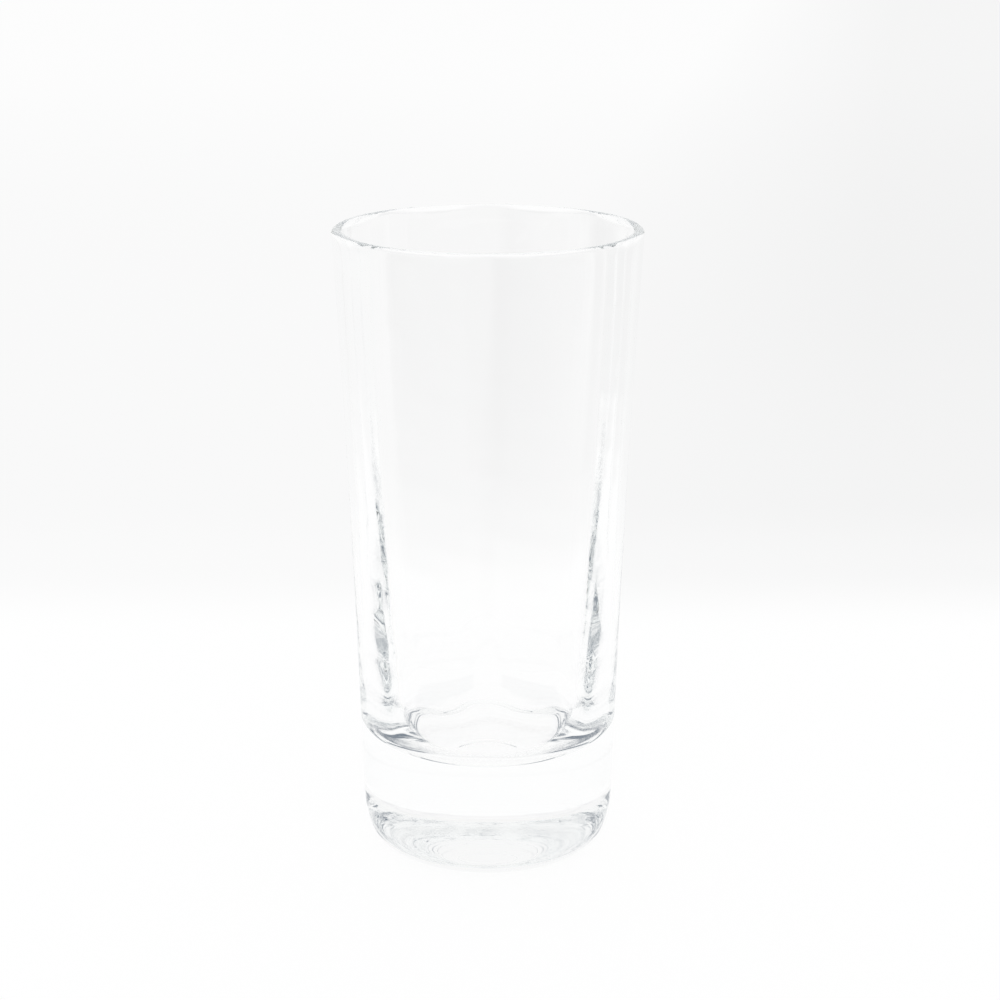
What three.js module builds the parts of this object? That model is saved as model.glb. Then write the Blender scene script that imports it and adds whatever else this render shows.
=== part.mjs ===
// Heavy-based mixing glass: one piece of clear pressed glass, in millimetres, +Z up.
// The origin is the centre of the circle that the glass stands on.
// Outside it is round, and it narrows a little more below, into the ring that it stands on.
// Inside, the wall is pressed into eight broad upright panels, whose rounded ridges fade out over
// the rim and above the round floor. Under the floor is a thick solid base.

import * as THREE from "three";
import { mergeVertices } from "three/addons/utils/BufferGeometryUtils.js";

// Outside
const HEIGHT = 150;
const RIM_OUTER_RADIUS = 36;
const RIM_ROUNDING = 1.1;
const WAIST_RADIUS = 32.1; // pulls the wall in between the base and the rim
const BASE_RADIUS = 30.3; // where the wall starts to curve in to the ring
const HEEL_HEIGHT = 14;
const HEEL_RADIUS = 29.8; // with the lift, pulls the curve out between the wall and the ring
const HEEL_LIFT = 0.8;
const RING_RADIUS = 24; // outside of the flat ring that the glass stands on

// Underside
const PUNT_RADIUS = 20; // the shallow hollow under the base, inside the ring
const PUNT_DEPTH = 0.6;

// Inside
const RIM_INNER_RADIUS = 33.6; // on a ridge, like the two that follow
const INNER_WAIST_RADIUS = 31.5;
const INNER_FOOT_RADIUS = 24.6; // where the wall starts to turn into the floor
const INNER_FOOT_HEIGHT = 40;
const FLOOR_HEIGHT = 26;
const FLOOR_RADIUS = 16.5; // the flat middle of the floor
const CORNER_RADIUS = 22; // where the wall and the floor would meet without the rounding

// Panels on the inside of the wall
const PANELS = 8;
const RIDGE_ROUNDING = 14; // radius of the rounded ridge between two panels, seen from above
const PANEL_FOOT_HEIGHT = 27; // the wall is round from here down
const PANEL_FADE = 20; // height over which the panels grow to their full depth

// Smoothness of the faceted solid
const STEPS_ROUND = PANELS * 9;
const WALL_STEPS = 8;
const HEEL_STEPS = 6;
const PUNT_STEPS = 3;
const ROUNDING_STEPS = 4; // in a quarter circle
const CORNER_STEPS = 5;

/** Points on a curve of the outline that starts, bends towards a corner and ends. */
function bend(start, corner, end, steps) {
  const points = [start, corner, end].map(([radius, height]) => new THREE.Vector2(radius, height));
  return new THREE.QuadraticBezierCurve(...points).getPoints(steps);
}

/** Points on a quarter circle of the outline. */
function rounding(centre, radius, startAngle) {
  const endAngle = startAngle + Math.PI / 2;
  const arc = new THREE.EllipseCurve(...centre, radius, radius, startAngle, endAngle);
  return arc.getPoints(ROUNDING_STEPS);
}

/** The outline from the axis under the base, up the outside, to the top of the rim. */
function outerOutline() {
  const rimEdge = HEIGHT - RIM_ROUNDING;
  const middle = (HEEL_HEIGHT + rimEdge) / 2;
  const punt = bend([0, PUNT_DEPTH], [PUNT_RADIUS / 2, PUNT_DEPTH], [PUNT_RADIUS, 0], PUNT_STEPS);
  const heel = bend(
    [RING_RADIUS, 0],
    [HEEL_RADIUS, HEEL_LIFT],
    [BASE_RADIUS, HEEL_HEIGHT],
    HEEL_STEPS,
  );
  const wall = bend(
    [BASE_RADIUS, HEEL_HEIGHT],
    [WAIST_RADIUS, middle],
    [RIM_OUTER_RADIUS, rimEdge],
    WALL_STEPS,
  );
  const lip = rounding([RIM_OUTER_RADIUS - RIM_ROUNDING, rimEdge], RIM_ROUNDING, 0);
  return [...punt, ...heel, ...wall.slice(1), ...lip.slice(1)];
}

/** The outline from the top of the rim, down the inside along a ridge, to the middle of the floor. */
function innerOutline() {
  const rimEdge = HEIGHT - RIM_ROUNDING;
  const middle = (INNER_FOOT_HEIGHT + rimEdge) / 2;
  const foot = [INNER_FOOT_RADIUS, INNER_FOOT_HEIGHT];
  const lipCentre = [RIM_INNER_RADIUS + RIM_ROUNDING, rimEdge];
  const lip = rounding(lipCentre, RIM_ROUNDING, Math.PI / 2);
  const wall = bend([RIM_INNER_RADIUS, rimEdge], [INNER_WAIST_RADIUS, middle], foot, WALL_STEPS);
  const cornerPoint = [CORNER_RADIUS, FLOOR_HEIGHT];
  const corner = bend(foot, cornerPoint, [FLOOR_RADIUS, FLOOR_HEIGHT], CORNER_STEPS);
  return [...lip, ...wall.slice(1), ...corner.slice(1), new THREE.Vector2(0, FLOOR_HEIGHT)];
}

/** How far from the axis the panelled wall is at an angle, as a share of the ridge's own distance. */
function panelShare(ridgeRadius, angle) {
  const halfPanel = Math.PI / PANELS;
  const panelDistance = (ridgeRadius - RIDGE_ROUNDING) * Math.cos(halfPanel) + RIDGE_ROUNDING;
  const fromRidge = Math.abs(((angle + halfPanel) % (2 * halfPanel)) - halfPanel);
  const flat = panelDistance / Math.cos(halfPanel - fromRidge);
  const centre = ridgeRadius - RIDGE_ROUNDING;
  const across = centre * Math.sin(fromRidge);
  const ridge = centre * Math.cos(fromRidge) + Math.sqrt(RIDGE_ROUNDING ** 2 - across ** 2);
  const ridgeEnds = Math.atan2(
    RIDGE_ROUNDING * Math.sin(halfPanel),
    centre + RIDGE_ROUNDING * Math.cos(halfPanel),
  );
  return (fromRidge < ridgeEnds ? ridge : flat) / ridgeRadius;
}

/** How much of the panels' depth shows at a height: none on the rim's crest or near the floor. */
function panelDepth(height) {
  const underRim = (HEIGHT - height) / RIM_ROUNDING;
  const overFoot = (height - PANEL_FOOT_HEIGHT) / PANEL_FADE;
  return THREE.MathUtils.smoothstep(Math.min(underRim, overFoot), 0, 1);
}

/** Presses the panels into the inside of the turned shape. */
function pressPanels(geometry, outlineLength, firstInside) {
  const position = geometry.attributes.position;
  for (let i = 0; i < position.count; i++) {
    if (i % outlineLength < firstInside) continue;
    const radius = Math.hypot(position.getX(i), position.getZ(i));
    if (radius < FLOOR_RADIUS / 2) continue;
    const angle = Math.atan2(position.getX(i), position.getZ(i)) + 2 * Math.PI;
    const depth = panelDepth(position.getY(i));
    const share = 1 - depth * (1 - panelShare(radius, angle));
    position.setX(i, position.getX(i) * share);
    position.setZ(i, position.getZ(i) * share);
  }
}

function glassGeometry() {
  const outside = outerOutline();
  const outline = [...outside, ...innerOutline()];
  const geometry = new THREE.LatheGeometry(outline, STEPS_ROUND);
  pressPanels(geometry, outline.length, outside.length);
  geometry.rotateX(Math.PI / 2);
  geometry.deleteAttribute("normal");
  geometry.deleteAttribute("uv");
  return mergeVertices(geometry, 1e-4);
}

const clearGlass = new THREE.MeshStandardMaterial({
  color: 0xeef4f2,
  roughness: 0.03,
  metalness: 0,
  transparent: true,
  opacity: 0.35,
});

const glassBody = new THREE.Mesh(glassGeometry(), clearGlass);
glassBody.name = "glass_body";

const mixingGlass = new THREE.Group();
mixingGlass.add(glassBody);

export default mixingGlass;
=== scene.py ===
"""A tall, heavy-based mixing glass in clear pressed glass, on a pale floor in soft light.

The glass is turned from one outline, with eight upright panels pressed into the inside of its
wall. Lengths are in metres and +Z is up. The camera stands on the -Y side.
"""

import math

import bpy
import numpy as np
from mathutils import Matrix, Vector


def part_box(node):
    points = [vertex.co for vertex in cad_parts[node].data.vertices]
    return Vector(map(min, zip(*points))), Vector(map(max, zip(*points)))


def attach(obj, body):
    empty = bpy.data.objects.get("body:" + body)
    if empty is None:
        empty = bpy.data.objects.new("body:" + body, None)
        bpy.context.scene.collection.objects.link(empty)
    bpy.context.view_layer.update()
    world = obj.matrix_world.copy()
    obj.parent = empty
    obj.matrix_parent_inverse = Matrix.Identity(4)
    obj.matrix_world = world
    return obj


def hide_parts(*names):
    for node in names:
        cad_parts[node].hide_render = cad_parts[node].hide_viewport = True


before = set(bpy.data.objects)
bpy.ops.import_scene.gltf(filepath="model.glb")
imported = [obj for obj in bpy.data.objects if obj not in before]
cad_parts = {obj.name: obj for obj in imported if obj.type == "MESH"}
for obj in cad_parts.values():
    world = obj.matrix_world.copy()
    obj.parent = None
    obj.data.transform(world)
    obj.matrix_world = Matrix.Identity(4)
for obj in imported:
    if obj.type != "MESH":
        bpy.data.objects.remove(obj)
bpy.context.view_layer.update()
LOW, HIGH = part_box("glass_body")
MM = 0.001

# Outside, from the frame's own box and the same dimensions as the CAD solid
HEIGHT = HIGH.z - LOW.z
RIM_OUTER_RADIUS = (HIGH.x - LOW.x) / 2
RIM_ROUNDING = 1.1 * MM
WAIST_RADIUS = 32.1 * MM  # pulls the wall in between the base and the rim
BASE_RADIUS = 30.3 * MM  # where the wall starts to curve in to the ring
HEEL_HEIGHT = 14 * MM
HEEL_RADIUS = 29.8 * MM  # with the lift, pulls the curve out between the wall and the ring
HEEL_LIFT = 0.8 * MM
RING_RADIUS = 24 * MM  # outside of the flat ring that the glass stands on

# Underside
PUNT_RADIUS = 20 * MM  # the shallow hollow under the base, inside the ring
PUNT_DEPTH = 0.6 * MM

# Inside
RIM_INNER_RADIUS = 33.6 * MM  # on a ridge, like the two that follow
INNER_WAIST_RADIUS = 31.5 * MM
INNER_FOOT_RADIUS = 24.6 * MM  # where the wall starts to turn into the floor
INNER_FOOT_HEIGHT = 40 * MM
FLOOR_HEIGHT = 26 * MM
FLOOR_RADIUS = 16.5 * MM  # the flat middle of the floor
CORNER_RADIUS = 22 * MM  # where the wall and the floor would meet without the rounding

# Panels on the inside of the wall
PANELS = 8
RIDGE_ROUNDING = 14 * MM  # radius of the rounded ridge between two panels, seen from above
PANEL_FOOT_HEIGHT = 27 * MM  # the wall is round from here down
PANEL_FADE = 20 * MM  # height over which the panels grow to their full depth

# Small marks of pressing: ripples on the inside, and a plain oval ridge in the hollow underneath
RIPPLE = 0.015 * MM
RIPPLE_WAVES = [(7 * MM, 5, 0.3), (11 * MM, 9, 1.9), (19 * MM, 3, 4.1)]  # length, turns, phase
OVAL = 10.5 * MM, 6.5 * MM
OVAL_WIDTH = 0.10  # as a share of the oval's own size
OVAL_HEIGHT = 0.25 * MM

# Smoothness, round the axis and along each stretch of the outline
STEPS_ROUND = PANELS * 30
PUNT_STEPS = 50
HEEL_STEPS = 24
WALL_STEPS = 50
INNER_WALL_STEPS = 60
CORNER_STEPS = 24
FLOOR_STEPS = 15
ROUNDING_STEPS = 12

# Surface of the glass; each stop of the haze and the scuffs is (noise, roughness)
REFRACTION = 1.51
TINT = (0.80, 0.93, 0.92, 1)
TINT_DENSITY = 0.4
HAZE_SCALE = 60
HAZE_DETAIL = 3
HAZE = [(0.55, 0.0), (0.8, 0.02)]
SCUFF_SCALE = 900
SCUFF_DETAIL = 2
SCUFFS = [(0.35, 0.25 / 3), (0.65, 0.25)]
RING_TOP = 0.12 * MM, 0.04 * MM  # heights between which the scuffs start
RING_INSIDE = PUNT_RADIUS - 0.5 * MM, PUNT_RADIUS

# The pale floor of the stage, which glows with painted light, brightest round the glass, and carries
# painted shade, greyer far behind the glass, most of all on the right, and dimmer in front; each
# stop of a side is (share of the depth, glow)
STAGE_REACH = 6.0
STAGE_DROP = 0.1 * MM  # keeps it clear of the ring that the glass stands on
STAGE_ROUGHNESS = 0.9
STAGE_REFLECTS = 0.05
STAGE_DEPTH = 0.10, 2.10  # behind the glass
# Painted light and shade: the first stop glows brightest round the glass, and the right side's lower
# glow is painted shade
STAGE_LEFT = [(0.025, 0.96), (0.06, 0.92), (0.10, 0.907), (0.30, 0.91), (0.95, 0.94)]
STAGE_RIGHT_PAINTED_SHADE = [(0.025, 0.96), (0.06, 0.895), (0.10, 0.865), (0.30, 0.85), (0.95, 0.875)]
# The border of the painted shade, between the left's glow and the right's, slanting away behind the
# glass
STAGE_ACROSS = -0.11, 0.09  # from the left's glow to the right's
STAGE_SLANT = 0.165  # how far that border moves to the right for each metre behind the glass
# Painted shade: the floor's glow is dimmer in front of the glass
STAGE_FRONT = -0.40, -0.12
STAGE_FRONT_PAINTED_SHADE = 0.70

# The world: pale walls, and a dim, cool room high on both sides; each stop is (height, share)
WALLS = 0.94
ROOM_COLOUR = (0.16, 0.195, 0.24)
ROOM_BAND = [(0.22, 0.0), (0.30, 1.0), (0.66, 1.0), (0.76, 0.0)]
ROOM_SIDES = 0.45, 0.55
ROOM_FRONT = 0.5, 0.4

# Camera
CAMERA_PLACE = (0, -0.5477, 0.2400)
CAMERA_PITCH = 0.276
SENSOR_WIDTH = 36
LENS = 2.4 * SENSOR_WIDTH
SHIFT_X = 0.0122

LIGHT_BOUNCES = 96  # fewer leave black specks in the thick base


def bend(start, corner, end, steps):
    """Points on a curve of the outline that starts, bends towards a corner and ends."""
    start, corner, end = np.array([start, corner, end])
    t = np.linspace(0, 1, steps + 1)[:, None]
    return start * (1 - t) ** 2 + 2 * corner * t * (1 - t) + end * t ** 2


def rounding(centre, start_angle):
    """Points on a quarter circle of the outline, at the rim."""
    angle = start_angle + np.linspace(0, math.pi / 2, ROUNDING_STEPS + 1)
    return np.array(centre) + RIM_ROUNDING * np.stack([np.cos(angle), np.sin(angle)], 1)


def outer_outline():
    """Radius and height from the axis under the base, up the outside, to the top of the rim."""
    rim_edge = HEIGHT - RIM_ROUNDING
    base = (BASE_RADIUS, HEEL_HEIGHT)
    waist = (WAIST_RADIUS, (HEEL_HEIGHT + rim_edge) / 2)
    punt = bend((0, PUNT_DEPTH), (PUNT_RADIUS / 2, PUNT_DEPTH), (PUNT_RADIUS, 0), PUNT_STEPS)
    heel = bend((RING_RADIUS, 0), (HEEL_RADIUS, HEEL_LIFT), base, HEEL_STEPS)
    wall = bend(base, waist, (RIM_OUTER_RADIUS, rim_edge), WALL_STEPS)
    lip = rounding((RIM_OUTER_RADIUS - RIM_ROUNDING, rim_edge), 0)
    return np.concatenate([punt, heel, wall[1:], lip[1:]])


def inner_outline():
    """Radius and height from the top of the rim, down a ridge inside, to the middle of the floor."""
    rim_edge = HEIGHT - RIM_ROUNDING
    foot = (INNER_FOOT_RADIUS, INNER_FOOT_HEIGHT)
    waist = (INNER_WAIST_RADIUS, (INNER_FOOT_HEIGHT + rim_edge) / 2)
    floor_edge = (FLOOR_RADIUS, FLOOR_HEIGHT)
    lip = rounding((RIM_INNER_RADIUS + RIM_ROUNDING, rim_edge), math.pi / 2)
    wall = bend((RIM_INNER_RADIUS, rim_edge), waist, foot, INNER_WALL_STEPS)
    corner = bend(foot, (CORNER_RADIUS, FLOOR_HEIGHT), floor_edge, CORNER_STEPS)
    floor = np.linspace(floor_edge, (0, FLOOR_HEIGHT), FLOOR_STEPS + 1)
    return np.concatenate([lip, wall[1:], corner[1:], floor[1:]])


def panel_share(ridge_radius, angle):
    """How far from the axis the panelled wall is at an angle, as a share of the ridge's radius."""
    half = math.pi / PANELS
    centre = ridge_radius - RIDGE_ROUNDING
    from_ridge = np.abs((angle + half) % (2 * half) - half)
    flat = (centre * math.cos(half) + RIDGE_ROUNDING) / np.cos(half - from_ridge)
    across = centre * np.sin(from_ridge)
    ridge = centre * np.cos(from_ridge) + np.sqrt(np.maximum(RIDGE_ROUNDING ** 2 - across ** 2, 0))
    ends = math.atan2(RIDGE_ROUNDING * math.sin(half), centre + RIDGE_ROUNDING * math.cos(half))
    return np.where(from_ridge < ends, ridge, flat) / ridge_radius


def panel_depth(height):
    """How much of the panels' depth shows at a height: none on the rim's crest or on the floor."""
    under_rim = (HEIGHT - height) / RIM_ROUNDING
    over_foot = (height - PANEL_FOOT_HEIGHT) / PANEL_FADE
    t = min(max(min(under_rim, over_foot), 0), 1)
    return t * t * (3 - 2 * t)


def ripple(height, angle):
    """How far the inside stands out from its true shape at a height and an angle."""
    total = 0
    for length, turns, phase in RIPPLE_WAVES:
        total = total + np.sin(2 * math.pi * height / length + turns * angle + phase)
    return RIPPLE * total


def oval_ridge(ring):
    """How far the underside stands out downwards at the points of a ring: a plain oval line."""
    across, along = OVAL
    place = np.hypot(ring[:, 0] / across, ring[:, 1] / along)
    return OVAL_HEIGHT * np.exp(-((place - 1) / OVAL_WIDTH) ** 2)


def ring_of_points(radius, height, angle):
    """Points round the axis at a height; the radius is one number, or one for each angle."""
    level = np.full(STEPS_ROUND, height)
    return np.stack([radius * np.sin(angle), -radius * np.cos(angle), level], 1)


def outside_ring(radius, height, angle):
    """The ring of the surface at a point of the outer outline."""
    ring = ring_of_points(radius, height, angle)
    if radius < PUNT_RADIUS:
        ring[:, 2] -= oval_ridge(ring)
    return ring


def inside_ring(ridge_radius, height, angle):
    """The ring of the surface at a point of the inner outline."""
    share = 1 - panel_depth(height) * (1 - panel_share(ridge_radius, angle))
    radius = ridge_radius * share
    if height < HEIGHT - RIM_ROUNDING:
        radius = radius + ripple(height, angle) * min(ridge_radius / FLOOR_RADIUS, 1)
    return ring_of_points(radius, height, angle)


def surface_faces(ring_count):
    """Faces from ring to ring, closed at both ends onto a vertex on the axis."""
    last_ring = 1 + (ring_count - 1) * STEPS_ROUND
    last_vertex = last_ring + STEPS_ROUND
    faces = []
    for this in range(STEPS_ROUND):
        following = (this + 1) % STEPS_ROUND
        faces.append((0, 1 + following, 1 + this))
        for ring in range(1, last_ring, STEPS_ROUND):
            above = ring + STEPS_ROUND
            faces.append((ring + this, ring + following, above + following, above + this))
        faces.append((last_ring + this, last_ring + following, last_vertex))
    return faces


def glass_mesh():
    """The glass as one closed mesh."""
    outside = outer_outline()
    inside = inner_outline()
    angle = np.arange(STEPS_ROUND) * 2 * math.pi / STEPS_ROUND
    rings = [outside_ring(radius, height, angle) for radius, height in outside[1:]]
    rings += [inside_ring(radius, height, angle) for radius, height in inside[:-1]]
    under_base = [(0, 0, outside[0][1])]
    on_floor = [(0, 0, inside[-1][1])]
    verts = np.concatenate([under_base, *rings, on_floor])
    mesh = bpy.data.meshes.new("glass")
    mesh.from_pydata(verts.tolist(), [], surface_faces(len(rings)))
    mesh.update()
    mesh.shade_smooth()
    return mesh


def ramp(tree, value, stops):
    """A colour ramp over a socket's value; each stop is (position, grey or colour)."""
    node = tree.nodes.new("ShaderNodeValToRGB")
    node.color_ramp.interpolation = "EASE"
    elements = node.color_ramp.elements
    while len(elements) < len(stops):
        elements.new(0.5)
    for element, (position, colour) in zip(elements, stops):
        colour = colour if isinstance(colour, tuple) else (colour, colour, colour)
        element.position = position
        element.color = (*colour, 1)
    tree.links.new(value, node.inputs[0])
    return node.outputs[0]


def map_range(tree, value, low, high):
    """A socket's value carried from low..high to 0..1, and held there outside it."""
    node = tree.nodes.new("ShaderNodeMapRange")
    node.inputs["From Min"].default_value = low
    node.inputs["From Max"].default_value = high
    tree.links.new(value, node.inputs["Value"])
    return node.outputs["Result"]


def calculate(tree, operation, *values):
    """A number worked out from sockets."""
    node = tree.nodes.new("ShaderNodeMath")
    node.operation = operation
    for value, socket in zip(values, node.inputs):
        tree.links.new(value, socket)
    return node.outputs["Value"]


def mix(tree, share, first, second):
    """A colour between two sockets, by a third."""
    node = tree.nodes.new("ShaderNodeMix")
    node.data_type = "RGBA"
    tree.links.new(share, node.inputs["Factor"])
    tree.links.new(first, node.inputs["A"])
    tree.links.new(second, node.inputs["B"])
    return node.outputs["Result"]


def noise(tree, place, scale, detail):
    """A noise pattern over a place, from about 0.3 to 0.7."""
    node = tree.nodes.new("ShaderNodeTexNoise")
    node.inputs["Scale"].default_value = scale
    node.inputs["Detail"].default_value = detail
    tree.links.new(place, node.inputs["Vector"])
    return node.outputs["Fac"]


def coordinates(tree, place):
    """The X, Y and Z of a place or a direction."""
    node = tree.nodes.new("ShaderNodeSeparateXYZ")
    tree.links.new(place, node.inputs[0])
    return node.outputs


def distance(tree, place):
    """How far a place is from the origin."""
    node = tree.nodes.new("ShaderNodeVectorMath")
    node.operation = "LENGTH"
    tree.links.new(place, node.inputs[0])
    return node.outputs["Value"]


def along(tree, place, direction):
    """How far a place is along a direction."""
    node = tree.nodes.new("ShaderNodeVectorMath")
    node.operation = "DOT_PRODUCT"
    node.inputs[1].default_value = direction
    tree.links.new(place, node.inputs[0])
    return node.outputs["Value"]


def glass_roughness(tree):
    """Polished with a faint haze of handling, and scuffed on the ring that the glass stands on."""
    place = tree.nodes.new("ShaderNodeTexCoord").outputs["Object"]
    hazy = ramp(tree, noise(tree, place, HAZE_SCALE, HAZE_DETAIL), HAZE)
    scuffed = ramp(tree, noise(tree, place, SCUFF_SCALE, SCUFF_DETAIL), SCUFFS)
    low = map_range(tree, coordinates(tree, place)["Z"], *RING_TOP)
    outer = map_range(tree, distance(tree, place), *RING_INSIDE)
    ring = calculate(tree, "MULTIPLY", low, outer)
    return mix(tree, ring, hazy, scuffed)


def clear_glass():
    """Clear glass with a faint cool tint where it is thick."""
    material = bpy.data.materials.new("clear_glass")
    material.use_nodes = True
    tree = material.node_tree
    shader = tree.nodes["Principled BSDF"]
    shader.inputs["Base Color"].default_value = (1, 1, 1, 1)
    shader.inputs["IOR"].default_value = REFRACTION
    shader.inputs["Transmission Weight"].default_value = 1
    tree.links.new(glass_roughness(tree), shader.inputs["Roughness"])
    volume = tree.nodes.new("ShaderNodeVolumeAbsorption")
    volume.inputs["Color"].default_value = TINT
    volume.inputs["Density"].default_value = TINT_DENSITY
    tree.links.new(volume.outputs[0], tree.nodes["Material Output"].inputs["Volume"])
    return material


def build_glass():
    glass = bpy.data.objects.new("glass", glass_mesh())
    bpy.context.scene.collection.objects.link(glass)
    glass.data.materials.append(clear_glass())
    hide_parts("glass_body")
    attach(glass, "root")


def floor_material():
    """Pale and glowing with painted light, brightest round the glass; painted shade makes it greyer
    far behind the glass and most of all on the right, and dim in front.
    """
    material = bpy.data.materials.new("floor")
    material.use_nodes = True
    tree = material.node_tree
    place = tree.nodes.new("ShaderNodeNewGeometry").outputs["Position"]
    y = coordinates(tree, place)["Y"]
    # The glow's colour: painted light round the glass, painted shade far behind it and on the right
    behind = map_range(tree, y, *STAGE_DEPTH)
    across = map_range(tree, along(tree, place, (1, -STAGE_SLANT, 0)), *STAGE_ACROSS)
    painted_glow_and_shade = mix(tree, across, ramp(tree, behind, STAGE_LEFT), ramp(tree, behind, STAGE_RIGHT_PAINTED_SHADE))
    # Painted shade: the glow's strength drops in front of the glass
    front = map_range(tree, y, *STAGE_FRONT)
    front_painted_shade = ramp(tree, front, [(0, STAGE_FRONT_PAINTED_SHADE), (1, 1.0)])
    shader = tree.nodes["Principled BSDF"]
    shader.inputs["Base Color"].default_value = (STAGE_REFLECTS,) * 3 + (1,)
    shader.inputs["Roughness"].default_value = STAGE_ROUGHNESS
    shader.inputs["Specular IOR Level"].default_value = 0.0
    tree.links.new(painted_glow_and_shade, shader.inputs["Emission Color"])
    tree.links.new(front_painted_shade, shader.inputs["Emission Strength"])
    return material


def build_floor():
    """The stage's floor, just under the glass."""
    signs = [(-1, -1), (1, -1), (1, 1), (-1, 1)]
    corners = [(x * STAGE_REACH, y * STAGE_REACH, 0) for x, y in signs]
    mesh = bpy.data.meshes.new("floor")
    mesh.from_pydata(corners, [], [(0, 1, 2, 3)])
    mesh.materials.append(floor_material())
    floor = bpy.data.objects.new("floor", mesh)
    bpy.context.scene.collection.objects.link(floor)
    floor.location.z = -STAGE_DROP


def build_light():
    """Pale walls all round, and a dimmer, cooler room high on both sides, but not behind."""
    world = bpy.data.worlds.new("studio")
    world.use_nodes = True
    bpy.context.scene.world = world
    tree = world.node_tree
    direction = coordinates(tree, tree.nodes.new("ShaderNodeTexCoord").outputs["Generated"])
    high = ramp(tree, direction["Z"], ROOM_BAND)
    front = map_range(tree, direction["Y"], *ROOM_FRONT)
    sides = map_range(tree, calculate(tree, "ABSOLUTE", direction["X"]), *ROOM_SIDES)
    room = calculate(tree, "MULTIPLY", calculate(tree, "MULTIPLY", high, front), sides)
    background = tree.nodes["Background"]
    background.inputs["Strength"].default_value = 1.0
    tree.links.new(ramp(tree, room, [(0, WALLS), (1, ROOM_COLOUR)]), background.inputs["Color"])


def build_camera():
    data = bpy.data.cameras.new("camera")
    data.sensor_width = SENSOR_WIDTH
    data.lens = LENS
    data.shift_x = SHIFT_X
    camera = bpy.data.objects.new("camera", data)
    camera.location = CAMERA_PLACE
    camera.rotation_euler = (math.pi / 2 - CAMERA_PITCH, 0, 0)
    bpy.context.scene.collection.objects.link(camera)
    bpy.context.scene.camera = camera


def build_look():
    """True whites, and light that can find its way out of the glass."""
    scene = bpy.context.scene
    scene.view_settings.view_transform = "Standard"
    scene.cycles.max_bounces = LIGHT_BOUNCES
    scene.cycles.transmission_bounces = LIGHT_BOUNCES
    scene.cycles.glossy_bounces = LIGHT_BOUNCES


build_glass()
build_floor()
build_light()
build_camera()
build_look()
